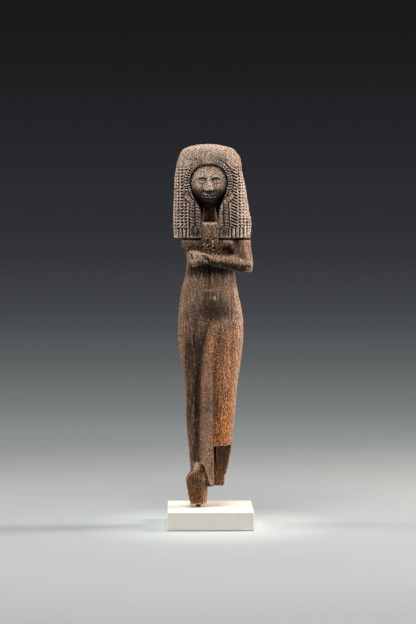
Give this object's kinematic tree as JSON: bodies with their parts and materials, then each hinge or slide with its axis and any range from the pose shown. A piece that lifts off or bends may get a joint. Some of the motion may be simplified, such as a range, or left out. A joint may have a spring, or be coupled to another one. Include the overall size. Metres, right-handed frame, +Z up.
{
  "type": "female statuette",
  "caption": "Carved wooden statuette of a standing woman in a long plaited wig, a forearm folded across her body, held by a steel rod on a white display block.",
  "frame": {"origin": "centre of the display block's underside", "axes": "+Z up along the figure, the figure faces -Y, +X is to the viewer's right"},
  "size_m": [0.05, 0.05, 0.2235],
  "materials": {
    "wood": "bare weathered hardwood with a dark worn surface and lighter brown wear",
    "rod_steel": "dark oxidised steel",
    "block_paint": "matte warm white paint on wood"
  },
  "bodies": {
    "root": {"figure": "wood", "mounting_rod": "rod_steel", "display_block": "block_paint"}
  },
  "joints": []
}
